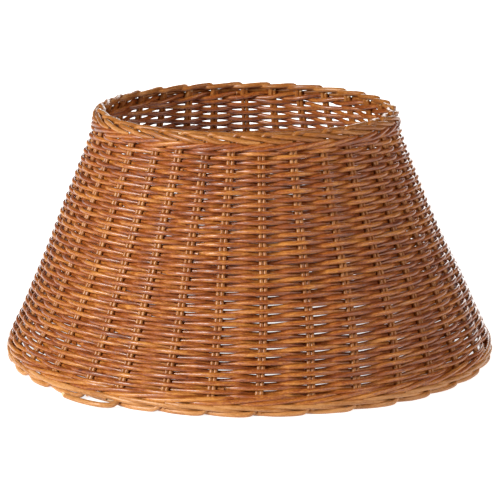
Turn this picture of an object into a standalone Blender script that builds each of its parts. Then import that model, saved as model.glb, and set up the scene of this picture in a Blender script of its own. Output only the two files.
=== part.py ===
"""Christmas tree collar, a wicker ring that hides a tree stand.

The collar is a cone with no floor and no lid, woven from round rods. Upright stakes stand in
pairs all round it. Long weavers wind up the wall, in front of one pair and behind the next. A
band of three twisted rods, called a wale, holds the stakes at the foot and again at the top. Past
the wales the stakes turn over their neighbours, to the right at the top and to the left at the
foot, which makes the two ropes that edge the collar. The stakes climb in a slight spiral.
Nothing on it moves.

Lengths are in metres. Z points up, the collar stands on Z = 0 and its axis is the Z axis. The
front is at -Y, so a growing angle goes to the right for somebody who faces the front.
"""

import math

import bmesh
import bpy
from mathutils import Matrix, Vector

# Size of the whole collar.
COLLAR_HEIGHT = 0.298
FOOT_OUTER_RADIUS = 0.2905
TOP_OUTER_RADIUS = 0.1825
WAIST_INSET = 0.0037
FOOT_FLAT_DEPTH = 0.0008

# Rods.
STAKE_THICKNESS = 0.0045
STAKE_PAIR_WIDTH = 0.0093
ROPE_STRAND_WIDTH = 0.0054
WEAVER_THICKNESS = 0.0041
WALE_THICKNESS = 0.0043
WALE_ROD_HEIGHT = 0.0045
WALE_OFFSET = 0.0072

# Clearances between pieces that touch on the real collar.
TOUCH_GAP = 0.0003
ROW_GAP = 0.0008
CROSSING_GAP = 0.0004
WALE_GAP = 0.0006
BUTT_SETBACK = 0.0014
STRAND_END_GAP = 0.0012
BAND_GAP = 0.0016

# Ropes made of the turned stakes, measured from the middle of each rope.
ROPE_LAY_RADIUS = 0.0058
HOOK_REACH = 0.011
CRANK_FAR = 0.0145
CRANK_NEAR = 0.0090
CRANK_END = 0.0044
CRANK_INSET = 0.0051
HOOK_INSET = 0.0064

# Counts and shares.
STAKE_PAIRS = 31
WEAVER_RODS = 17
ROUNDS_PER_WEAVER = 2
WALE_RODS = 3
ROPE_STRANDS = 3
LAY_STEPS = 5
WAIST_SHARE = 0.64
FRONT_STAKE_TURN_SHARE = 0.0083
STAKE_SPIRAL = math.radians(4)
SHADE_ANGLE = math.radians(42)

# Sizes that follow from the ones above.
STAKE_STEP = 2 * math.pi / STAKE_PAIRS
FRONT_STAKE_ANGLE = -math.pi / 2 + 2 * math.pi * FRONT_STAKE_TURN_SHARE
HALF_PAIR = STAKE_PAIR_WIDTH / 2
HALF_STAKE = STAKE_THICKNESS / 2
ROPE_RADIUS = ROPE_LAY_RADIUS + ROPE_STRAND_WIDTH / 2
FOOT_ROPE_HEIGHT = ROPE_RADIUS - FOOT_FLAT_DEPTH
TOP_ROPE_HEIGHT = COLLAR_HEIGHT - ROPE_RADIUS
FOOT_ROPE_CIRCLE = FOOT_OUTER_RADIUS - ROPE_RADIUS
TOP_ROPE_CIRCLE = TOP_OUTER_RADIUS - ROPE_RADIUS
WAIST_HEIGHT = FOOT_ROPE_HEIGHT + WAIST_SHARE * (TOP_ROPE_HEIGHT - FOOT_ROPE_HEIGHT)
STRAIGHT_WAIST = FOOT_ROPE_CIRCLE + WAIST_SHARE * (TOP_ROPE_CIRCLE - FOOT_ROPE_CIRCLE)
WAIST_RADIUS = STRAIGHT_WAIST - WAIST_INSET
WALL_CORNERS = (
    Vector((FOOT_ROPE_CIRCLE, FOOT_ROPE_HEIGHT)),
    Vector((WAIST_RADIUS, WAIST_HEIGHT)),
    Vector((TOP_ROPE_CIRCLE, TOP_ROPE_HEIGHT)),
)
LOWER_WALL = (WALL_CORNERS[1] - WALL_CORNERS[0]).length
UPPER_WALL = (WALL_CORNERS[2] - WALL_CORNERS[1]).length
WALL_LENGTH = LOWER_WALL + UPPER_WALL

# A rod that runs straight between stakes on a round wall leans more outside than inside.
ROUND_WALL_BOW = HALF_PAIR * math.tan(STAKE_STEP / 2)

# A wale's rods change places one rod height at a time.
WALE_SHIFT = WALE_ROD_HEIGHT + WALE_GAP
HALF_WALE_BAND = WALE_SHIFT + WALE_ROD_HEIGHT / 2
WALE_WAY = CRANK_FAR + BAND_GAP + WALE_ROD_HEIGHT / 2

# The woven rows fill the wall from one wale to the other.
WEAVER_ROUNDS = WEAVER_RODS * ROUNDS_PER_WEAVER
WOVEN_LENGTH = WALL_LENGTH - 2 * (WALE_WAY + HALF_WALE_BAND + TOUCH_GAP)
ROW_PITCH = WOVEN_LENGTH / (WEAVER_ROUNDS + 1)
WEAVER_HEIGHT = ROW_PITCH - ROW_GAP
FIRST_ROW_WAY = WALE_WAY + HALF_WALE_BAND + TOUCH_GAP + ROW_PITCH / 2

# Colours, as red, green and blue.
STAKE_COLOUR = (0.56, 0.32, 0.14)
WEAVER_COLOUR = (0.45, 0.20, 0.075)
WALE_COLOUR = (0.50, 0.24, 0.09)
VARNISH_ROUGHNESS = 0.35


def wall_at(way, turn):
    """Point, upward direction and outward direction of the wall's middle surface.

    The way runs up the wall from the middle of the foot rope, and the turn is the angle
    about the Z axis there. Further up, the wall is wound to the right by its spiral.
    """
    if way < LOWER_WALL:
        start, end, rest = WALL_CORNERS[0], WALL_CORNERS[1], way
    else:
        start, end, rest = WALL_CORNERS[1], WALL_CORNERS[2], way - LOWER_WALL
    along = (end - start).normalized()
    flat = start + along * rest
    spin = Matrix.Rotation(turn + STAKE_SPIRAL * way / WALL_LENGTH, 3, "Z")
    point = spin @ Vector((flat.x, 0, flat.y))
    upward = spin @ Vector((along.x, 0, along.y))
    outward = spin @ Vector((along.y, 0, -along.x))
    return point, upward, outward


def stake_spacing(way):
    """Distance from one stake pair to the next, at this way up the wall."""
    return wall_at(way, 0)[0].xy.length * STAKE_STEP


def crossing_offset(way, thickness):
    """How far a rod's middle stands off the wall's middle where it passes a stake pair."""
    spacing = stake_spacing(way)
    reach = thickness / 2 + CROSSING_GAP
    room = 1 - STAKE_PAIR_WIDTH / spacing
    offset = (HALF_STAKE + reach) / room
    lean = math.hypot(1, 2 * offset / spacing + math.tan(STAKE_STEP / 2))
    return (HALF_STAKE + reach * lean) / room


def swept(name, stations):
    """A rod with a four-sided section, swept through stations.

    A station is a point, the direction of the rod's thickness there, that thickness and the
    rod's width.
    """
    mesh = bmesh.new()
    points = [station[0] for station in stations]
    rings = []
    for index, (point, across, thickness, width) in enumerate(stations):
        before = points[max(index - 1, 0)]
        after = points[min(index + 1, len(points) - 1)]
        arriving = (point - before).normalized() if index else (after - point).normalized()
        leaving = (after - point).normalized() if index < len(points) - 1 else arriving
        ahead = (arriving + leaving).normalized()
        inner = leaving - arriving
        stretch = 1 / arriving.dot(ahead) - 1
        thin = (across - ahead * across.dot(ahead)).normalized()
        broad = ahead.cross(thin)
        ring = []
        for a, b in ((1, 1), (-1, 1), (-1, -1), (1, -1)):
            corner = thin * a * thickness / 2 + broad * b * width / 2
            if inner.length_squared > 0:
                bend = inner.normalized()
                corner += bend * corner.dot(bend) * stretch
            ring.append(mesh.verts.new(point + corner))
        rings.append(ring)
    for first, second in zip(rings, rings[1:]):
        for side in range(4):
            other = (side + 1) % 4
            mesh.faces.new((first[side], first[other], second[other], second[side]))
    mesh.faces.new(rings[0][::-1])
    mesh.faces.new(rings[-1])
    bmesh.ops.recalc_face_normals(mesh, faces=mesh.faces)
    data = bpy.data.meshes.new(name)
    mesh.to_mesh(data)
    mesh.free()
    return data


def shortened(stations, setback):
    """The same stations with both ends drawn in along the rod."""
    drawn = list(stations)
    for end, beside in ((0, 1), (-1, -2)):
        point = drawn[end][0]
        toward = (drawn[beside][0] - point).normalized()
        drawn[end] = (point + toward * setback, *drawn[end][1:])
    return drawn


def rope_stations(at_top):
    """Stations of a turned stake, from its wall end to its cut end, for the stake at turn 0."""
    way = WALL_LENGTH if at_top else 0
    side = 1 if at_top else -1
    spacing = stake_spacing(way)

    def place(steps, outset, onward):
        """A point near the rope, in steps of stakes, out from its middle and on along the wall."""
        point, upward, outward = wall_at(way, side * steps * STAKE_STEP)
        return point + outward * outset + upward * side * onward

    inward = -wall_at(way, 0)[2]
    result = [
        (place(0, 0, -CRANK_FAR), inward, STAKE_THICKNESS, STAKE_PAIR_WIDTH),
        (place(0, -CRANK_INSET, -CRANK_NEAR), inward, STAKE_THICKNESS, STAKE_PAIR_WIDTH),
        (place(0, -HOOK_INSET, -CRANK_END), inward, STAKE_THICKNESS, STAKE_PAIR_WIDTH),
    ]
    first = HOOK_REACH / spacing
    last = ROPE_STRANDS - (HALF_PAIR + STRAND_END_GAP) / spacing
    for index in range(LAY_STEPS + 1):
        steps = first + (last - first) * index / LAY_STEPS
        lay = math.pi - 2 * math.pi * steps / ROPE_STRANDS
        outset = ROPE_LAY_RADIUS * math.cos(lay)
        onward = ROPE_LAY_RADIUS * math.sin(lay)
        point = place(steps, outset, onward)
        inward = Vector((-point.x, -point.y, 0))
        result.append((point, inward, ROPE_STRAND_WIDTH, ROPE_STRAND_WIDTH))
    return result


def stake_pair(name):
    """A stake pair at turn 0, with both ends turned into the ropes and flat where it stands."""
    point, _, outward = wall_at(LOWER_WALL, 0)
    waist = (point, -outward, STAKE_THICKNESS, STAKE_PAIR_WIDTH)
    data = swept(name, rope_stations(False)[::-1] + [waist] + rope_stations(True))
    mesh = bmesh.new()
    mesh.from_mesh(data)
    cut = bmesh.ops.bisect_plane(
        mesh,
        geom=mesh.verts[:] + mesh.edges[:] + mesh.faces[:],
        plane_co=(0, 0, 0),
        plane_no=(0, 0, 1),
        clear_inner=True,
    )
    rim = [item for item in cut["geom_cut"] if isinstance(item, bmesh.types.BMEdge)]
    bmesh.ops.holes_fill(mesh, edges=rim)
    bmesh.ops.recalc_face_normals(mesh, faces=mesh.faces)
    mesh.to_mesh(data)
    mesh.free()
    return data


def weaver(name, number):
    """One weaver, which winds up the wall in front of and behind the stake pairs by turns."""
    first = number * ROUNDS_PER_WEAVER * STAKE_PAIRS
    stations = []
    for index in range(first, first + ROUNDS_PER_WEAVER * STAKE_PAIRS + 1):
        way = FIRST_ROW_WAY + ROW_PITCH * index / STAKE_PAIRS
        point, _, outward = wall_at(way, index * STAKE_STEP)
        side = -1 if index % 2 == 0 else 1
        offset = side * crossing_offset(way, WEAVER_THICKNESS) + ROUND_WALL_BOW
        place = point + outward * offset
        stations.append((place, outward, WEAVER_THICKNESS, WEAVER_HEIGHT))
    return swept(name, shortened(stations, BUTT_SETBACK))


def wale_rod(name, number, way):
    """One rod of a wale: behind a stake pair, then in front of two while it rises."""
    inside = ROUND_WALL_BOW - WALE_OFFSET
    outside = ROUND_WALL_BOW + WALE_OFFSET
    roles = ((inside, 0), (outside, -WALE_SHIFT), (outside, WALE_SHIFT))
    stations = []
    for index in range(STAKE_PAIRS + 1):
        outset, rise = roles[(index - number) % WALE_RODS]
        point, _, outward = wall_at(way + rise, index * STAKE_STEP)
        place = point + outward * outset
        stations.append((place, outward, WALE_THICKNESS, WALE_ROD_HEIGHT))
    return swept(name, shortened(stations, BUTT_SETBACK))


def varnished(name, colour):
    """A varnished wood material of one colour."""
    made = bpy.data.materials.new(name)
    made.use_nodes = True
    shader = made.node_tree.nodes["Principled BSDF"]
    shader.inputs["Base Color"].default_value = (*colour, 1)
    shader.inputs["Roughness"].default_value = VARNISH_ROUGHNESS
    return made


def finished(data, material):
    """Gives a mesh its material and smooth shading along its bends."""
    data.materials.append(material)
    data.shade_smooth()
    data.set_sharp_from_angle(angle=SHADE_ANGLE)
    return data


def placed(name, data, turn):
    """Adds a piece to the scene and turns it about the collar's axis into its place."""
    made = bpy.data.objects.new(name, data)
    made.rotation_euler.z = turn
    bpy.context.scene.collection.objects.link(made)


def build():
    """Clears the scene and makes every piece of the collar."""
    for old in list(bpy.data.objects):
        bpy.data.objects.remove(old, do_unlink=True)
    stake = finished(stake_pair("stake_pair"), varnished("stake_varnish", STAKE_COLOUR))
    for number in range(STAKE_PAIRS):
        turn = FRONT_STAKE_ANGLE + number * STAKE_STEP
        placed(f"stake_pair_{number + 1:02d}", stake, turn)
    back = FRONT_STAKE_ANGLE + STAKE_PAIRS // 2 * STAKE_STEP
    weaver_varnish = varnished("weaver_varnish", WEAVER_COLOUR)
    for number in range(WEAVER_RODS):
        name = f"weaver_{number + 1:02d}"
        placed(name, finished(weaver(name, number), weaver_varnish), back)
    wale_varnish = varnished("wale_varnish", WALE_COLOUR)
    for band, way in (("foot", WALE_WAY), ("top", WALL_LENGTH - WALE_WAY)):
        for number in range(WALE_RODS):
            name = f"{band}_wale_{number + 1}"
            placed(name, finished(wale_rod(name, number, way), wale_varnish), back)


build()
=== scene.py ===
"""Wicker christmas tree collar, laid out as a Blender add-on and run as a script.

The collar is an open cone woven from varnished willow rods. Thirty-one pairs of stakes stand all
round it. Weavers wind up the wall, in front of one pair and behind the next. A wale of three rods
holds the stakes at the foot and at the top, and one rod of each pair is turned over its neighbours
to make the border past each wale.

Lengths are in metres. Z points up and the front is at -Y. A rod's place on the wall is given by
its step, which counts the stake pairs to the right as a viewer in front sees them, by its height
and by how far out it stands from the middle of the wall.
"""

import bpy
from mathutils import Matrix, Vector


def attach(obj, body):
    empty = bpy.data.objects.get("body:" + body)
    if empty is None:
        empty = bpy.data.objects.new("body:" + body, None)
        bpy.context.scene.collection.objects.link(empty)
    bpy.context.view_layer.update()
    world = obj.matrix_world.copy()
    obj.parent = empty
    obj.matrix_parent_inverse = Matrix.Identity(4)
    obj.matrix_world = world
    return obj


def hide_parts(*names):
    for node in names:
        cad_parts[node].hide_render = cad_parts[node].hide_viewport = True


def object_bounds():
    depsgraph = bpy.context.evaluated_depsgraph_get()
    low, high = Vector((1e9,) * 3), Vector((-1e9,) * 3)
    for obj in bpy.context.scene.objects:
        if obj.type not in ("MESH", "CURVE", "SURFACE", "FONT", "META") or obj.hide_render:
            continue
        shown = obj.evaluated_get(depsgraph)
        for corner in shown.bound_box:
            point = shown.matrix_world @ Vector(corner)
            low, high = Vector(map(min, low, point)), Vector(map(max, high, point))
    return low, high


bl_info = {
    "name": "Wicker Tree Collar",
    "version": (1, 0, 0),
    "blender": (4, 5, 0),
    "location": "3D View > Sidebar > Tree Collar",
    "description": "Weaves a varnished willow collar for the foot of a christmas tree",
    "category": "Add Mesh",
}

import math

import bpy
import numpy as np
from mathutils import Vector, noise

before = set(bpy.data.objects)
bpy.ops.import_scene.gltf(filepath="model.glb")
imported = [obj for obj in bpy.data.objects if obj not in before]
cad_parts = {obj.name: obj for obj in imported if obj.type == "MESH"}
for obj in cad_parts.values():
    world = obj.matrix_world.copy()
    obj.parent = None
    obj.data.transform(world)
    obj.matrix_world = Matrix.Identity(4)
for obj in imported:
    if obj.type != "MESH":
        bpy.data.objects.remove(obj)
CAD_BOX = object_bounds()

MM = 0.001
STAKES = 31
WALE_RODS = 3
WEAVER_PIECES = 17
ROWS = 57
# The weave and the wales start at this step, at the back.
BACK_STEP = 15
# The last woven rod stops this many stakes short of a full round, so a wider gap is left there.
EARLY_END = 4
# The stake in front stands a little to the right of the middle, and the others follow in steps.
FRONT_TURN = math.radians(-87)
STEP_TURN = 2 * math.pi / STAKES
# Every stake climbs this far to the right, from the floor to the rim.
SPIRAL = math.radians(4)

# The wall's outline: share of the height, and share of the way from foot radius to top radius.
WALL_OUTLINE = (
    (0, 0),
    (0.047, 0.015),
    (0.087, 0.040),
    (0.168, 0.143),
    (0.289, 0.282),
    (0.450, 0.475),
    (0.651, 0.695),
    (0.852, 0.905),
    (0.893, 0.940),
    (0.933, 0.966),
    (0.966, 0.984),
    (1, 1),
)

# Stakes that stand off their even places: the stake's number, counted to the right from the one
# in front, then degrees to the right at three shares of the height. The others stray by chance.
WANDER_HEIGHTS = (0.1, 0.5, 0.9)
WANDER_DEGREES = 1.3
UNEVEN_STAKES = (
    (-7, 2.4, 2.6, 1.6),
    (-6, 3.2, 3.7, 2.4),
    (-5, 3.0, 4.2, 4.0),
    (-4, 3.2, 3.6, 4.6),
    (-3, 0.8, 1.9, 2.8),
    (-2, 0.4, 0.9, 1.6),
    (-1, -0.4, -0.6, -0.4),
    (0, -1.1, -0.3, -1.0),
    (1, -0.8, 0.1, -0.8),
    (2, -1.2, 0.5, -0.1),
    (3, -1.3, 1.2, -0.8),
    (4, -2.6, 0.3, 0.6),
    (5, -3.6, -0.1, -1.0),
    (6, -2.4, -0.4, -0.8),
)

# A stake turned into a border: steps along it, then millimetres out and towards the rim.
TOP_TURN = (
    (0.00, 0.0, -14.0),
    (-0.02, -0.6, -9.0),
    (-0.03, -1.0, -5.2),
    (0.00, -0.6, -2.0),
    (0.08, 0.2, 0.0),
    (0.20, 0.3, 0.5),
    (0.36, -1.2, 0.5),
    (0.60, -3.6, 0.3),
    (0.88, -4.8, 0.0),
    (1.04, -4.9, -0.6),
    (1.20, -3.2, -1.4),
    (1.38, 0.4, -2.2),
    (1.60, 3.2, -2.9),
    (1.95, 4.6, -4.3),
    (2.25, 5.0, -6.5),
    (2.55, 5.0, -8.2),
    (2.92, 4.4, -9.2),
)
FOOT_TURN = (
    (0.00, 0.0, -14.5),
    (0.00, 0.3, -9.5),
    (0.02, 1.0, -5.6),
    (0.06, 1.4, -2.6),
    (0.12, 2.2, -0.8),
    (0.24, 3.0, 0.0),
    (0.42, 3.2, 0.0),
    (0.64, 2.4, -0.1),
    (0.84, 0.0, -0.3),
    (1.04, -2.6, -0.9),
    (1.22, -2.6, -1.9),
    (1.40, 0.2, -3.5),
    (1.62, 3.6, -5.0),
    (1.95, 5.0, -6.6),
    (2.30, 5.3, -7.6),
    (2.60, 5.3, -8.2),
    (2.90, 4.8, -8.8),
)

# The first stations of a turn still follow the wall. The others stray from the table by up to
# this many millimetres.
TURN_ON_WALL = 4
TURN_STRAY = 0.5
# A turned rod thins by this share for each step, and then to its tip: the step where that
# starts, the steps that it takes and the share of the thickness that goes.
TURN_THINNING = 0.03
TIP_START = 2.5
TIP_LENGTH = 0.4
TIP_THINNING = 0.4
# The middle of a turned rod stays this share of its radius off the floor and below the rim.
OFF_FLOOR = 1.03
BELOW_RIM = 0.97

# The foot rod of one stake has come loose: it lies on the floor and is cut off short.
LOOSE_STAKE = -3
LOOSE_TURN = (
    (0.00, 0.0, -14.5),
    (-0.05, 1.0, -9.5),
    (-0.08, 3.0, -5.6),
    (-0.07, 5.5, -2.4),
    (-0.05, 11.0, -0.5),
    (0.04, 16.0, 0.0),
    (0.24, 19.5, 0.0),
    (0.60, 20.0, 0.0),
    (0.98, 18.2, 0.0),
    (1.34, 14.6, 0.0),
)
# A short rod laid in where the loose one is missing from the border, from its pale cut end.
LAID_IN_TURN = (
    (0.20, 4.6, -5.6),
    (0.45, 5.2, -6.4),
    (0.80, 5.2, -6.8),
    (1.25, 5.2, -6.8),
    (1.62, 5.2, -6.4),
    (1.95, 5.2, -6.6),
    (2.30, 5.3, -7.6),
    (2.60, 5.3, -8.2),
    (2.90, 4.8, -8.8),
)

# A woven row from behind one stake to behind the next but one: stakes to the right of the stake
# between them, which it passes in front of, and millimetres up. It is lowest behind the stakes.
ROW_SAG = (
    (-1.3, -0.2),
    (-1.0, -1.5),
    (-0.8, -1.7),
    (-0.62, -0.9),
    (-0.45, -0.1),
    (-0.2, 0.15),
    (0.3, 0.2),
    (0.6, 0.0),
    (0.8, -0.7),
    (1.0, -1.5),
    (1.2, -1.7),
)

# How far the woven rows stray from an even climb: height and millimetres up.
ROW_DRIFT = (
    (0.020, 0.0),
    (0.036, -1.5),
    (0.055, -3.2),
    (0.080, -4.1),
    (0.105, -4.5),
    (0.130, -4.6),
    (0.155, -4.3),
    (0.180, -3.5),
    (0.205, -2.8),
    (0.230, -2.3),
    (0.255, -1.6),
    (0.275, 0.0),
)

# A wale rod over three stakes, and a little past them at each side so that the curve closes
# smoothly: steps along, then out as a share of its reach and up as a share of its climb.
WALE_ROUND = (
    (-0.5, -0.15, 1.0),
    (0.0, -1.0, 0.0),
    (0.5, -0.15, -1.0),
    (0.75, 0.70, -0.98),
    (1.0, 1.0, -0.88),
    (1.5, 1.12, 0.0),
    (2.0, 1.0, 0.88),
    (2.25, 0.70, 0.98),
    (2.5, -0.15, 1.0),
    (3.0, -1.0, 0.0),
    (3.5, -0.15, -1.0),
)

# Where a stake's straight run ends, from the floor and from the rim, and where the rod of a pair
# that isn't turned there is cut off.
STRAIGHT_FROM = 23 * MM
STRAIGHT_TO = 22 * MM
CUT_AT_FOOT = 6 * MM
CUT_AT_TOP = 8.4 * MM

# Weaving rods are about this long and are joined behind a stake.
WEAVER_LENGTH = 1.35

# How far a rod's end face leans, as a share of its radius: cut across, or cut to a long point.
SQUARE_CUT = 0.5
STAKE_CUT = 0.6
LONG_CUT = -3.2

# Flat sides of a rod's mesh, and the distance between its rings on a stake.
ROD_SIDES = 10
RING_SPACING = 2.4 * MM
SHARP_EDGE = math.radians(55)

# Patterns of the stained rods: length along the rod, how many fit round the rod, detail and
# weight in the colour. A rod measures 16.5 mm round, so they are 5.5, 1.8 and 0.75 mm wide. The
# real fibres, about 0.2 mm wide, are too fine to show, so they are drawn coarser.
STAINS = (55 * MM, 3.0, 2, 0.55)
STREAKS = (9 * MM, 9.0, 3, 0.55)
FIBRES = (2.2 * MM, 22.0, 1, 0.44)
# Weight of each rod's own tone, and how far apart its patterns start from the next rod's.
TONE_WEIGHT = 0.22
TONE_SHIFT = 91.0
# Pores of a cut end are 0.05 to 0.1 mm wide. They are drawn 0.83 mm wide, so that they show.
PORE_WIDTH = MM / 1.2


def linear(code):
    """A colour in Blender's linear values, from its sRGB hex code."""
    shares = [int(code[n : n + 2], 16) / 255 for n in (1, 3, 5)]
    return [s / 12.92 if s <= 0.04045 else ((s + 0.055) / 1.055) ** 2.4 for s in shares]


def length(name, description, millimetres):
    """A length that a user may change."""
    return bpy.props.FloatProperty(
        name=name, description=description, default=millimetres * MM, unit="LENGTH", precision=4
    )


def tint(name, description, code):
    """A colour that a user may change."""
    return bpy.props.FloatVectorProperty(
        name=name, description=description, default=linear(code), subtype="COLOR", min=0, max=1
    )


class CollarSizes(bpy.types.PropertyGroup):
    """Sizes of the collar and of its rods."""

    height: bpy.props.FloatProperty(
        name="Height",
        description="Height of the collar, from the floor to the top border",
        default=CAD_BOX[1][2] - CAD_BOX[0][2],
        unit="LENGTH",
    )
    foot_radius: length("Foot radius", "Radius of the middle of the wall at the floor", 284.5)
    top_radius: length("Top radius", "Radius of the middle of the wall at the rim", 172.2)
    lean: length("Lean", "How far the upper half leans to the left", 4.0)
    stake: length("Stake thickness", "Thickness of each upright rod", 4.95)
    stake_apart: length("Stake spacing", "Distance between the two rods of a pair", 4.7)
    top_turned: length("Top border rod", "Thickness of a stake turned into the top border", 6.2)
    foot_turned: length("Foot border rod", "Thickness of a stake turned into the foot border", 6.1)
    weaver: length("Weaver height", "Height of the rods woven round the wall", 5.65)
    weaver_deep: length("Weaver depth", "Depth of those rods, from outside to inside", 4.9)
    weaver_reach: length("Weaver reach", "How far a weaver stands off the middle of the wall", 4.25)
    first_row: length("First row", "Height of the middle of the lowest row", 22.8)
    last_row: length("Last row", "From the rim down to the middle of the highest row", 23.6)
    wale_rod: length("Wale rod thickness", "Thickness of the rods of both wales", 5.5)
    foot_wale: length("Foot wale", "Height of the middle of the lower wale", 17.0)
    top_wale: length("Top wale", "From the rim down to the middle of the upper wale", 17.2)
    wale_reach: length("Wale reach", "How far a wale rod stands off the middle of the wall", 4.6)
    wale_climb: length("Wale climb", "Half the height of a wale, between its rods' middles", 2.8)


class CollarColours(bpy.types.PropertyGroup):
    """Colours of the varnished willow."""

    weaver: tint("Weavers", "Middle colour of the woven rods", "#9C5018")
    weaver_light: tint("Weavers, light", "Light streaks of the woven rods", "#D28E3C")
    weaver_dark: tint("Weavers, dark", "Dark streaks of the woven rods", "#58230C")
    stake: tint("Stakes", "Middle colour of the upright rods", "#AA6826")
    stake_light: tint("Stakes, light", "Light streaks of the upright rods", "#CE9458")
    stake_dark: tint("Stakes, dark", "Dark streaks of the upright rods", "#7C4018")
    cut: tint("Cut ends", "Bare wood where a rod is cut", "#EBC896")
    floor: tint("Floor", "Paper under the collar", "#F4F3F1")


def eased(share):
    """A share from 0 to 1 that starts and ends gently."""
    share = min(max(share, 0), 1)
    return share * share * (3 - 2 * share)


def between(table, at):
    """The values of a table's rows at a place, on a smooth curve through the rows."""
    last = len(table) - 1
    row = 0
    while row < last - 1 and table[row + 1][0] <= at:
        row += 1
    low, high = table[row], table[row + 1]
    before, after = table[max(row - 1, 0)], table[min(row + 2, last)]
    gap = high[0] - low[0]
    share = (at - low[0]) / gap
    values = []
    for column in range(1, len(low)):
        start = (high[column] - before[column]) / (high[0] - before[0]) * gap
        end = (after[column] - low[column]) / (after[0] - low[0]) * gap
        square, cube = share**2, share**3
        values.append(
            (2 * cube - 3 * square + 1) * low[column]
            + (cube - 2 * square + share) * start
            + (3 * square - 2 * cube) * high[column]
            + (cube - square) * end
        )
    return values


def ripple(*place):
    """Small irregularity, from -1 to 1, that changes smoothly with the place."""
    return noise.noise(Vector((place + (0.37, 0.61, 0.83))[:3]) + Vector((7.3, 3.1, 5.7)))


def tone_of(*place):
    """A rod's own tone, from 0, dark, to 1, light, by chance."""
    return 0.5 + 0.5 * ripple(*place)


class Wall:
    """The wall's middle surface, which every rod is laid against."""

    def __init__(self, sizes):
        self.sizes = sizes
        self.wander = []
        for stake in range(STAKES):
            strays = [WANDER_DEGREES * ripple(stake * 3.7, at * 1.2) for at in WANDER_HEIGHTS]
            self.wander.append(list(zip(WANDER_HEIGHTS, strays)))
        for stake, *degrees in UNEVEN_STAKES:
            self.wander[stake % STAKES] = list(zip(WANDER_HEIGHTS, degrees))

    def radius(self, height):
        """Radius of the wall at a height."""
        share = min(max(height / self.sizes.height, -0.02), 1.02)
        grown = between(WALL_OUTLINE, share)[0]
        return self.sizes.foot_radius + (self.sizes.top_radius - self.sizes.foot_radius) * grown

    def turn(self, step, height):
        """Angle about the Z axis of a step, with the stakes a little out of even spacing."""
        whole = math.floor(step)
        share = height / self.sizes.height
        at = min(max(share, 0.02), 0.98)
        wanders = [between(self.wander[s % STAKES], at)[0] for s in (whole, whole + 1)]
        wander = wanders[0] + (wanders[1] - wanders[0]) * (step - whole)
        return FRONT_TURN + step * STEP_TURN + SPIRAL * share + math.radians(wander)

    def place(self, step, height, out, beside=0.0):
        """A point of a rod, beside its step by a distance, and the way out of the wall there."""
        turn = self.turn(step, height) + beside / self.radius(height)
        small = 2 * MM
        slope = (self.radius(height + small) - self.radius(height - small)) / (2 * small)
        round_way = Vector((math.cos(turn), math.sin(turn), 0))
        outward = (round_way - Vector((0, 0, slope))).normalized()
        lean_start, lean_share = 0.22, 0.42
        lean = self.sizes.lean * eased((height / self.sizes.height - lean_start) / lean_share)
        middle = round_way * self.radius(height) + Vector((-lean, 0, height))
        return middle + outward * out, outward

    def spacing(self, height):
        """Distance between two stakes at a height."""
        return self.radius(height) * STEP_TURN


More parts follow.
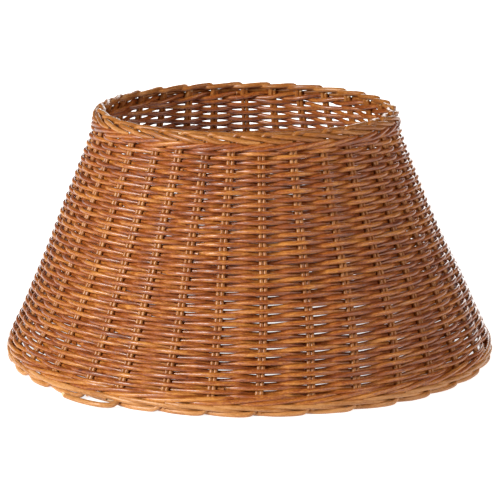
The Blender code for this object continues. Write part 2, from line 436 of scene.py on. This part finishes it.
class Rods:
    """Collects rods, each with its own tone, and makes one mesh of them."""

    def __init__(self):
        self.sides = ROD_SIDES
        self.verts, self.faces, self.caps = [], [], []
        self.grain, self.tones, self.strips = [], [], []
        self.count = 0

    def add(self, stations, tone, slant, tall=1.0):
        """Sweeps a rod through stations: a point, the way out of the wall and a radius.

        Slant is how far its end faces lean, and tall is its height as a share of its depth.
        """
        points = np.array([s[0] for s in stations])
        outs = np.array([s[1] for s in stations])
        radii = np.array([s[2] for s in stations])
        ahead = np.gradient(points, axis=0)
        ahead /= np.linalg.norm(ahead, axis=1)[:, None]
        outs = outs - ahead * (outs * ahead).sum(1)[:, None]
        outs /= np.linalg.norm(outs, axis=1)[:, None]
        beside = np.cross(ahead, outs)
        steps = np.linalg.norm(np.diff(points, axis=0), axis=1)
        along = np.concatenate([[0], np.cumsum(steps)])
        angle = np.arange(self.sides) * 2 * math.pi / self.sides
        outwards = np.cos(angle)[None, :, None] * outs[:, None]
        sideways = np.sin(angle)[None, :, None] * beside[:, None] * tall
        verts = points[:, None] + (outwards + sideways) * radii[:, None, None]
        for end, way in ((0, -1), (-1, 1)):
            push = np.cos(angle) * radii[end] * slant * way
            verts[end] += ahead[end][None, :] * push[:, None]
        rings, sides = len(points), self.sides
        start = self.count
        for i in range(rings - 1):
            for k in range(sides):
                n = (k + 1) % sides
                low, high = start + i * sides, start + (i + 1) * sides
                self.faces.append((low + k, low + n, high + n, high + k))
                self.grain += [
                    (along[i], k / sides),
                    (along[i], (k + 1) / sides),
                    (along[i + 1], (k + 1) / sides),
                    (along[i + 1], k / sides),
                ]
        self.strips.append((along, float(radii.max()) * tall))
        first, last = start, start + (rings - 1) * sides
        for cap, at in (
            (tuple(first + k for k in reversed(range(sides))), along[0]),
            (tuple(last + k for k in range(sides)), along[-1]),
        ):
            self.caps.append(len(self.faces))
            self.faces.append(cap)
            self.grain += [(at, k / sides) for k in range(sides)]
        self.verts.append(verts.reshape(-1, 3))
        self.tones += [tone] * (rings * sides)
        self.count += rings * sides

    def unrolled(self):
        """Places on a flat sheet, where the rods are cut open on the inner side and laid in rows.

        The end faces lie side by side in a row of their own above them.
        """
        sides = self.sides
        spare = 4 * MM
        edge = 0.04
        longest = max(float(np.diff(along).max()) for along, _ in self.strips)
        total = sum(along[-1] + spare for along, _ in self.strips)
        thick = 2 * math.pi * max(radius for _, radius in self.strips)
        rows = math.ceil(math.sqrt(total / thick))
        scale = rows / (total + rows * (longest + spare))
        tall = 1 / (rows + 1)
        places = []
        row, at = 0, 0.0
        for number, (along, radius) in enumerate(self.strips):
            for ring in range(len(along) - 1):
                gap = (along[ring + 1] - along[ring]) * scale
                if at + gap > 1:
                    row, at = row + 1, 0.0
                for side in range(sides):
                    turned = (side + sides // 2) % sides
                    low = tall * (row + edge + (1 - 2 * edge) * turned / sides)
                    high = tall * (row + edge + (1 - 2 * edge) * (turned + 1) / sides)
                    places += [(at, low), (at, high), (at + gap, high), (at + gap, low)]
                at += gap
            at += spare * scale
            faces = 2 * len(self.strips)
            for end in range(2):
                middle = (2 * number + end + 0.5) / faces
                reach = min(0.42 * tall, 0.4 / faces, radius * scale)
                turns = range(sides) if end else reversed(range(sides))
                for side in turns:
                    angle = side * 2 * math.pi / sides
                    up = tall * (rows + 0.5) + reach * math.sin(angle)
                    places.append((middle + reach * math.cos(angle), up))
        if row >= rows:
            raise RuntimeError("The unrolled rods need more rows than there are")
        return places

    def made(self, name, materials, nodes, slot):
        """Makes the object, hangs it on the root body and hides the parts of the nodes it replaces.
        """
        mesh = bpy.data.meshes.new(name)
        mesh.from_pydata(np.concatenate(self.verts).tolist(), [], self.faces)
        layer = mesh.uv_layers.new(name="grain")
        layer.data.foreach_set("uv", np.array(self.grain, dtype=np.float32).ravel())
        layer = mesh.uv_layers.new(name="OFBake")
        layer.data.foreach_set("uv", np.array(self.unrolled(), dtype=np.float32).ravel())
        tones = mesh.attributes.new("rod_tone", "FLOAT", "POINT")
        tones.data.foreach_set("value", np.array(self.tones, dtype=np.float32))
        for material in materials:
            mesh.materials.append(material)
        mesh.shade_smooth()
        for index in self.caps:
            mesh.polygons[index].material_index = 1
        mesh.set_sharp_from_angle(angle=SHARP_EDGE)
        made = bpy.data.objects.new(name, mesh)
        bpy.context.scene.collection.objects.link(made)
        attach(made, "root")
        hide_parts(*nodes)


def smoothed(keys, spacing):
    """Stations on a smooth curve through key stations, about this far apart."""
    points = [k[0] for k in keys]
    result = []
    for i in range(len(keys) - 1):
        before, low = points[max(i - 1, 0)], points[i]
        high, after = points[i + 1], points[min(i + 2, len(points) - 1)]
        span = (high - low).length
        count = max(1, round(span / spacing))
        gaps = [max((b - a).length, 1e-9) for a, b in ((before, low), (low, high), (high, after))]
        start = (high - before) / (gaps[0] + gaps[1]) * span
        end = (after - low) / (gaps[1] + gaps[2]) * span
        if i == 0:
            start = high - low
        if i == len(keys) - 2:
            end = high - low
        for n in range(count + (i == len(keys) - 2)):
            t = n / count
            point = (
                low * (2 * t**3 - 3 * t**2 + 1)
                + start * (t**3 - 2 * t**2 + t)
                + high * (3 * t**2 - 2 * t**3)
                + end * (t**3 - t**2)
            )
            outward = keys[i][1].lerp(keys[i + 1][1], t)
            radius = keys[i][2] + (keys[i + 1][2] - keys[i][2]) * t
            result.append((point, outward, radius))
    return result


def turned_end(wall, stake, lateral, at_top, table):
    """Key stations of a stake turned into a border, from the wall outwards."""
    sizes = wall.sizes
    side = 1 if at_top else -1
    half = (sizes.top_turned if at_top else sizes.foot_turned) / 2
    edge = sizes.height - half if at_top else half
    keys = []
    for row, (step, out, rise) in enumerate(table):
        stray = TURN_STRAY * ripple(stake * 5.1, row * 0.6, side * 4.0) * (row >= TURN_ON_WALL)
        height = edge + side * (rise + stray) * MM
        beside = lateral * max(0, 1 - step)
        point, outward = wall.place(stake + side * step, height, (out + stray) * MM, beside)
        tip = eased((step - TIP_START) / TIP_LENGTH)
        radius = half * (1 - TURN_THINNING * step) * (1 - TIP_THINNING * tip)
        point.z = min(max(point.z, radius * OFF_FLOOR), sizes.height - radius * BELOW_RIM)
        keys.append((point, outward, radius))
    return keys


def stake_rod(wall, stake, side):
    """One rod of a pair: the right one is turned at the top, the left one at the foot."""
    sizes = wall.sizes
    half = sizes.stake / 2
    lateral = side * sizes.stake_apart / 2
    count = 18
    low, high = STRAIGHT_FROM, sizes.height - STRAIGHT_TO
    heights = [low + (high - low) * n / count for n in range(count + 1)]
    if side > 0:
        heights = [CUT_AT_FOOT] + heights
    else:
        heights = heights + [sizes.height - CUT_AT_TOP]
    bend, thick, thinning = 0.25 * MM, 1.03, 0.06
    keys = []
    for n, height in enumerate(heights):
        out = bend * ripple(stake * 2.3 + side, n * 0.8)
        point, outward = wall.place(stake, height, out, lateral)
        keys.append((point, outward, half * (thick - thinning * n / count)))
    if side > 0:
        return keys + turned_end(wall, stake, lateral, True, TOP_TURN)
    foot = LOOSE_TURN if stake == LOOSE_STAKE % STAKES else FOOT_TURN
    return turned_end(wall, stake, lateral, False, foot)[::-1] + keys


def row_height(wall, crossing):
    """Height of the woven helix at a crossing, climbing from row to row mostly at the back."""
    sizes = wall.sizes
    row, part = divmod(crossing / STAKES, 1)
    share = min(max((row + part) / ROWS, 0), 1)
    middle = math.sin(math.pi * share)
    # The middle rows also climb evenly round the wall, the others only in the last part of a round.
    even, late = 0.6 * middle, 0.16
    climbed = row + even * part + (1 - even) * eased((part - (1 - late)) / late)
    span = sizes.height - sizes.last_row - sizes.first_row
    # The middle rows also wave a little up and down.
    turn = crossing * STEP_TURN
    wave = math.sin(3 * turn + 5 * share) + 0.6 * math.sin(7 * turn - 11 * share)
    swell = 0.4 * MM * middle
    height = sizes.first_row + span * climbed / (ROWS - 1) + swell * wave
    lowest, highest = ROW_DRIFT[0][0], ROW_DRIFT[-1][0]
    return height + between(ROW_DRIFT, min(max(height, lowest), highest))[0] * MM


def weaver_rod(wall, start, end, seed):
    """Stations of one weaver, from one crossing behind a stake to another."""
    sizes = wall.sizes
    past_stake, samples_per_step = 0.24, 10
    first, last = start - past_stake, end + past_stake
    count = round((last - first) * samples_per_step)
    # Each rod has its own thickness, within a twentieth.
    size = 1 + 0.05 * ripple(seed * 1.7)
    stations = []
    for n in range(count + 1):
        crossing = first + (last - first) * n / count
        # It swings out round a stake and in behind the next, a little fuller between them.
        phase = math.pi * crossing
        out = sizes.weaver_reach * math.cos(phase) * (1 + 0.10 * math.sin(phase) ** 2)
        # It dips behind a stake, partly by chance, less at the back, and more to the right of the
        # front in the lower rows. Where it stands out it also hangs a little.
        back = 0.5 - 0.5 * math.cos((crossing + BACK_STEP) * STEP_TURN)
        across = (crossing + BACK_STEP + STAKES / 2) % STAKES - STAKES / 2
        low_rows = 1 - eased((crossing / STAKES / ROWS - 0.28) / 0.2)
        slack = 0.45 + 0.4 * low_rows * eased((across + 1.8) / 1.8)
        beside = (crossing + 1) % 2 - 1
        sag = between(ROW_SAG, beside)[0] * MM * (1 + 0.5 * ripple(crossing * 0.45, seed * 1.3))
        sag = sag * slack * (1 - 0.7 * back) - (0.13 + 0.05 * back) * out
        # Its first end lies on the end of the rod before it, tucked in behind the stake.
        newly = 1 - eased((crossing - start - 0.15) / 0.5)
        lift = newly * sizes.weaver * 0.35
        out -= newly * 1.6 * MM
        jitter = 0.35 * MM * ripple(crossing * 0.7, seed * 3.1)
        height = row_height(wall, crossing) + sag + lift + jitter
        point, outward = wall.place(crossing + BACK_STEP, height, out)
        # It is a little thinner at its far end and at the back, and its thickness varies.
        taper = 1.04 - 0.08 * n / count
        bump = 1 + 0.03 * ripple(crossing * 1.9, seed)
        thin = 1 - 0.06 * back
        stations.append((point, outward, sizes.weaver_deep / 2 * size * taper * bump * thin))
    return stations


def wale_rod(wall, number, middle, seed):
    """Stations of one rod of a wale, once round the wall and a little past its own start."""
    sizes = wall.sizes
    past_start, samples_per_step = 0.3, 8
    start, end = BACK_STEP - past_start, BACK_STEP + STAKES + past_start
    count = round((end - start) * samples_per_step)
    stray = 0.25 * MM
    stations = []
    for n in range(count + 1):
        step = start + (end - start) * n / count
        phase = (step - number) % WALE_RODS
        out, up = between(WALE_ROUND, phase)
        # Both ends are drawn in a little, where they lie side by side.
        lap = eased((step - (end - 0.9)) / 0.8) + eased((start + 0.9 - step) / 0.8)
        out = sizes.wale_reach * out - lap * 0.8 * MM
        uneven = ripple(step * 0.7, seed * 2.9)
        height = middle + sizes.wale_climb * up + stray * uneven
        point, outward = wall.place(step, height, out + 0.8 * stray * uneven)
        stations.append((point, outward, sizes.wale_rod / 2 * (1 + 0.04 * uneven)))
    return stations


def add_node(tree, kind, values=None, links=None, **settings):
    """Adds a node with its settings, its socket values and its links."""
    node = tree.nodes.new(kind)
    for name, value in settings.items():
        setattr(node, name, value)
    for socket, value in (values or {}).items():
        node.inputs[socket].default_value = value
    for socket, source in (links or {}).items():
        tree.links.new(source, node.inputs[socket])
    return node


def willow(name, middle, light, dark, coat):
    """Peeled willow rods, stained brown and varnished.

    The stain takes unevenly, so the eye sees long blotches, short streaks and fine fibres along
    each rod, and no two rods of one tone. Near the floor the colour is painted paler, a painted
    light that stands in for light bounced up from the white floor. The thin varnish gives a satin
    gloss with small bright glints, and the wood under it is faintly ridged.
    """
    made = bpy.data.materials.new(name)
    made.use_nodes = True
    tree = made.node_tree
    shader = tree.nodes["Principled BSDF"]
    shader.inputs["IOR"].default_value = 1.5
    shader.inputs["Coat Weight"].default_value = coat
    shader.inputs["Coat Roughness"].default_value = 0.2
    grain = add_node(tree, "ShaderNodeUVMap", uv_map="grain").outputs[0]
    parts = add_node(tree, "ShaderNodeSeparateXYZ", links={0: grain}).outputs
    tone = add_node(tree, "ShaderNodeAttribute", attribute_name="rod_tone").outputs["Fac"]
    patterns = []
    for along, around, detail, _ in (STAINS, STREAKS, FIBRES):
        # The place along the rod, with the rod's own shift.
        values, links = {1: along}, {0: parts[0]}
        lengthways = add_node(tree, "ShaderNodeMath", values, links, operation="DIVIDE")
        values, links = {1: TONE_SHIFT}, {0: tone, 2: lengthways.outputs[0]}
        shifted = add_node(tree, "ShaderNodeMath", values, links, operation="MULTIPLY_ADD")
        # The place round the rod, bent to a ring so that the pattern has no seam.
        values, links = {1: 2 * math.pi}, {0: parts[1]}
        turn = add_node(tree, "ShaderNodeMath", values, links, operation="MULTIPLY").outputs[0]
        ring = []
        for operation in ("COSINE", "SINE"):
            curve = add_node(tree, "ShaderNodeMath", links={0: turn}, operation=operation)
            values, links = {1: around / (2 * math.pi)}, {0: curve.outputs[0]}
            scaled = add_node(tree, "ShaderNodeMath", values, links, operation="MULTIPLY")
            ring.append(scaled.outputs[0])
        links = {0: shifted.outputs[0], 1: ring[0], 2: ring[1]}
        place = add_node(tree, "ShaderNodeCombineXYZ", links=links).outputs[0]
        values = {"Scale": 1.0, "Detail": detail, "Roughness": 0.55}
        noisy = add_node(tree, "ShaderNodeTexNoise", values, {"Vector": place})
        patterns.append(noisy.outputs[0])
    streak = patterns[1]
    weights = [kind[3] for kind in (STAINS, STREAKS, FIBRES)] + [TONE_WEIGHT]
    mixed = None
    for shade, weight in zip((*patterns, tone), weights):
        links = {0: shade, 2: mixed} if mixed else {0: shade}
        values = {1: weight, 2: 0.0}
        node = add_node(tree, "ShaderNodeMath", values, links, operation="MULTIPLY_ADD")
        mixed = node.outputs[0]
    # Painted light: paler from 34 mm above the floor down to 7 mm, standing in for light bounced up
    # from the floor.
    place = add_node(tree, "ShaderNodeNewGeometry").outputs["Position"]
    height = add_node(tree, "ShaderNodeSeparateXYZ", links={0: place}).outputs["Z"]
    values = {"From Min": 7 * MM, "From Max": 34 * MM, "To Min": 0.17, "To Max": 0.0}
    painted_floor_bounce = add_node(tree, "ShaderNodeMapRange", values, {"Value": height}).outputs[0]
    mixed = add_node(tree, "ShaderNodeMath", links={0: mixed, 1: painted_floor_bounce}).outputs[0]
    values = {"From Min": 0.64, "From Max": 1.12}
    share = add_node(tree, "ShaderNodeMapRange", values, {"Value": mixed}).outputs[0]
    ramp = add_node(tree, "ShaderNodeValToRGB", links={0: share})
    ramp.color_ramp.elements[0].color = (*dark, 1)
    ramp.color_ramp.elements[1].color = (*light, 1)
    ramp.color_ramp.elements.new(0.5).color = (*middle, 1)
    tree.links.new(ramp.outputs[0], shader.inputs["Base Color"])
    # Pale streaks are duller and stand a little higher than dark ones.
    values = {"From Min": 0.3, "From Max": 0.7, "To Min": 0.34, "To Max": 0.52}
    gloss = add_node(tree, "ShaderNodeMapRange", values, {"Value": streak})
    tree.links.new(gloss.outputs[0], shader.inputs["Roughness"])
    values = {"Strength": 0.8, "Distance": 0.45 * MM}
    relief = add_node(tree, "ShaderNodeBump", values, {"Height": streak})
    tree.links.new(relief.outputs[0], shader.inputs["Normal"])
    return made


def bare_willow(name, colour):
    """Bare willow cut across with a knife: pale, dull wood with dark pores, and no varnish."""
    made = bpy.data.materials.new(name)
    made.use_nodes = True
    tree = made.node_tree
    shader = tree.nodes["Principled BSDF"]
    shader.inputs["Roughness"].default_value = 0.62
    place = add_node(tree, "ShaderNodeNewGeometry").outputs["Position"]
    values = {"Scale": 1 / PORE_WIDTH, "Detail": 2}
    pores = add_node(tree, "ShaderNodeTexNoise", values, {"Vector": place})
    ramp = add_node(tree, "ShaderNodeValToRGB", links={0: pores.outputs[0]})
    ramp.color_ramp.elements[0].color = (*[c * 0.55 for c in colour], 1)
    ramp.color_ramp.elements[1].color = (*colour, 1)
    ramp.color_ramp.elements[1].position = 0.6
    tree.links.new(ramp.outputs[0], shader.inputs["Base Color"])
    return made


def finish_of(kind):
    """The two materials of a kind of rod, made once.

    The weavers stand further out and take more varnish than the stakes, so they shine more.
    """
    colours = bpy.context.scene.collar_colours
    tones = {
        "stake": (colours.stake, colours.stake_light, colours.stake_dark, 0.15),
        "weaver": (colours.weaver, colours.weaver_light, colours.weaver_dark, 0.4),
    }
    name = f"varnished_willow_{kind}"
    varnished = bpy.data.materials.get(name) or willow(name, *tones[kind])
    bare = bpy.data.materials.get("cut_willow") or bare_willow("cut_willow", colours.cut)
    return varnished, bare


class COLLAR_OT_stakes(bpy.types.Operator):
    """Makes the pairs of stakes with their turned ends"""

    bl_idname = "collar.stakes"
    bl_label = "Stake Pairs"

    def execute(self, context):
        wall = Wall(context.scene.collar_sizes)
        for number in range(STAKES):
            rods = Rods()
            loose = number == LOOSE_STAKE % STAKES
            for side in (-1, 1):
                tone = tone_of(number * 4.3, side * 2.0)
                slant = LONG_CUT if loose and side < 0 else STAKE_CUT
                rods.add(smoothed(stake_rod(wall, number, side), RING_SPACING), tone, slant)
            if loose:
                laid_in = turned_end(wall, number, 0.0, False, LAID_IN_TURN)
                laid_in_tone = 0.6
                rods.add(smoothed(laid_in, RING_SPACING), laid_in_tone, LONG_CUT)
            name = f"stake_pair_{number + 1:02d}"
            rods.made(f"{name}_rods", finish_of("stake"), [name], "stake_wicker")
        return {"FINISHED"}


class COLLAR_OT_weavers(bpy.types.Operator):
    """Weaves the wall, in front of one stake pair and behind the next"""

    bl_idname = "collar.weavers"
    bl_label = "Weavers"

    @staticmethod
    def behind(crossing):
        """The crossing next to this one where the weaver is behind a stake."""
        return int(crossing) // 2 * 2 + 1

    def execute(self, context):
        sizes = context.scene.collar_sizes
        wall = Wall(sizes)
        tall = sizes.weaver / sizes.weaver_deep
        crossings = ROWS * STAKES - EARLY_END - 1
        for number in range(WEAVER_PIECES):
            first, last = (
                self.behind(crossings * piece / WEAVER_PIECES) for piece in (number, number + 1)
            )
            per_rod = WEAVER_LENGTH / wall.spacing(row_height(wall, first))
            pieces = max(2, round((last - first) / per_rod))
            marks = [first]
            for n in range(1, pieces):
                marks.append(self.behind(first + (last - first) * n / pieces))
            marks.append(last)
            rods = Rods()
            for n, (start, end) in enumerate(zip(marks, marks[1:])):
                seed = number * 7 + n
                stations = weaver_rod(wall, start, end, seed)
                rods.add(stations, tone_of(seed * 5.9), SQUARE_CUT, tall)
            name = f"weaver_{number + 1:02d}"
            rods.made(f"{name}_rods", finish_of("weaver"), [name], "weaver_wicker")
        return {"FINISHED"}


class COLLAR_OT_wales(bpy.types.Operator):
    """Makes the three rods of the wale at the foot and of the wale at the top"""

    bl_idname = "collar.wales"
    bl_label = "Wales"

    def execute(self, context):
        sizes = context.scene.collar_sizes
        wall = Wall(sizes)
        for band, middle in (("foot", sizes.foot_wale), ("top", sizes.height - sizes.top_wale)):
            for number in range(WALE_RODS):
                rods = Rods()
                seed = number + (10 if band == "top" else 0)
                rods.add(wale_rod(wall, number, middle, seed), tone_of(seed * 3.3), SQUARE_CUT)
                name = f"{band}_wale_{number + 1}"
                rods.made(f"{name}_rod", finish_of("weaver"), [name], "wale_wicker")
        return {"FINISHED"}


class COLLAR_OT_stage(bpy.types.Operator):
    """Sets the camera, the soft lamps and the pale floor"""

    bl_idname = "collar.stage"
    bl_label = "Stage"

    def execute(self, context):
        scene = context.scene
        scene.view_settings.view_transform = "Standard"
        camera = bpy.data.cameras.new("camera")
        camera.lens = 191.6
        camera.sensor_width = 36
        camera.clip_end = 50
        viewer = bpy.data.objects.new("camera", camera)
        viewer.location = (0.0007, -3.1, 0.840)
        viewer.rotation_euler = (math.radians(90 - 13.02), 0, 0)
        scene.collection.objects.link(viewer)
        scene.camera = viewer
        # Each lamp's place, size in metres, watts and colour.
        for name, place, size, power, colour in (
            ("key", (-2.42, -1.93, 1.42), 1.2, 126, (1, 0.97, 0.93)),
            ("fill", (2.66, -1.38, 1.60), 2.0, 47, (1, 0.86, 0.74)),
            ("rim", (0.4, 3.0, 0.75), 1.6, 34, (1, 1, 1)),
        ):
            lamp = bpy.data.lights.new(name, "AREA")
            lamp.size = size
            lamp.energy = power
            lamp.color = colour
            holder = bpy.data.objects.new(name, lamp)
            holder.location = place
            aim = Vector((0, 0, 0.15)) - Vector(place)
            holder.rotation_euler = aim.to_track_quat("-Z", "Y").to_euler()
            scene.collection.objects.link(holder)
        world = bpy.data.worlds.new("studio")
        world.use_nodes = True
        scene.world = world
        tree = world.node_tree
        back = tree.nodes["Background"]
        back.inputs["Color"].default_value = (1, 1, 1, 1)
        back.inputs["Strength"].default_value = 0.07

        mesh = bpy.data.meshes.new("floor")
        half = 40
        corners = [(-half, -half, 0), (half, -half, 0), (half, half, 0), (-half, half, 0)]
        mesh.from_pydata(corners, [], [(0, 1, 2, 3)])
        floor = bpy.data.objects.new("floor", mesh)
        scene.collection.objects.link(floor)
        # Uncoated white paper, rolled out flat: no gloss and no grain that shows, so the eye sees
        # only the collar's soft shadow on it.
        paper = bpy.data.materials.new("white_paper")
        paper.use_nodes = True
        tree = paper.node_tree
        shader = tree.nodes["Principled BSDF"]
        shader.inputs["Base Color"].default_value = (*scene.collar_colours.floor, 1)
        shader.inputs["Roughness"].default_value = 0.9
        # Where it is only looked at, or mirrored in the varnish, the paper is pure white from 1.8 m
        # out and a little greyer under the collar.
        rays = add_node(tree, "ShaderNodeLightPath")
        seen = rays.outputs["Is Camera Ray"]
        for kind in ("Is Glossy Ray", "Is Transmission Ray"):
            links = {0: seen, 1: rays.outputs[kind]}
            seen = add_node(tree, "ShaderNodeMath", links=links, operation="MAXIMUM").outputs[0]
        links = {0: add_node(tree, "ShaderNodeNewGeometry").outputs["Position"]}
        away = add_node(tree, "ShaderNodeVectorMath", links=links, operation="LENGTH")
        values = {"From Min": 0.4, "From Max": 1.8, "To Min": 0.84, "To Max": 1.0}
        paler = add_node(tree, "ShaderNodeMapRange", values, {"Value": away.outputs["Value"]})
        links = {0: seen, 1: paler.outputs[0]}
        glow = add_node(tree, "ShaderNodeMath", links=links, operation="MULTIPLY")
        light = add_node(tree, "ShaderNodeEmission", links={"Strength": glow.outputs[0]})
        links = {0: shader.outputs[0], 1: light.outputs[0]}
        both = add_node(tree, "ShaderNodeAddShader", links=links)
        tree.links.new(both.outputs[0], tree.nodes["Material Output"].inputs["Surface"])
        mesh.materials.append(paper)
        return {"FINISHED"}


STEPS = (COLLAR_OT_stage, COLLAR_OT_stakes, COLLAR_OT_weavers, COLLAR_OT_wales)


class COLLAR_PT_panel(bpy.types.Panel):
    """Lists the steps that make the collar"""

    bl_label = "Tree Collar"
    bl_idname = "COLLAR_PT_panel"
    bl_space_type = "VIEW_3D"
    bl_region_type = "UI"
    bl_category = "Tree Collar"

    def draw(self, context):
        for step in STEPS:
            self.layout.operator(step.bl_idname)
        for group in (context.scene.collar_sizes, context.scene.collar_colours):
            box = self.layout.box()
            for name in group.__annotations__:
                box.prop(group, name)


CLASSES = (CollarSizes, CollarColours, *STEPS, COLLAR_PT_panel)


def register():
    """Registers the classes and their settings."""
    for kind in CLASSES:
        bpy.utils.register_class(kind)
    bpy.types.Scene.collar_sizes = bpy.props.PointerProperty(type=CollarSizes)
    bpy.types.Scene.collar_colours = bpy.props.PointerProperty(type=CollarColours)


def unregister():
    """Takes the settings and the classes away again."""
    del bpy.types.Scene.collar_colours
    del bpy.types.Scene.collar_sizes
    for kind in reversed(CLASSES):
        bpy.utils.unregister_class(kind)


def main():
    """Makes the collar and its stage."""
    register()
    bpy.ops.collar.stage()
    bpy.ops.collar.stakes()
    bpy.ops.collar.weavers()
    bpy.ops.collar.wales()


if __name__ == "__main__":
    main()
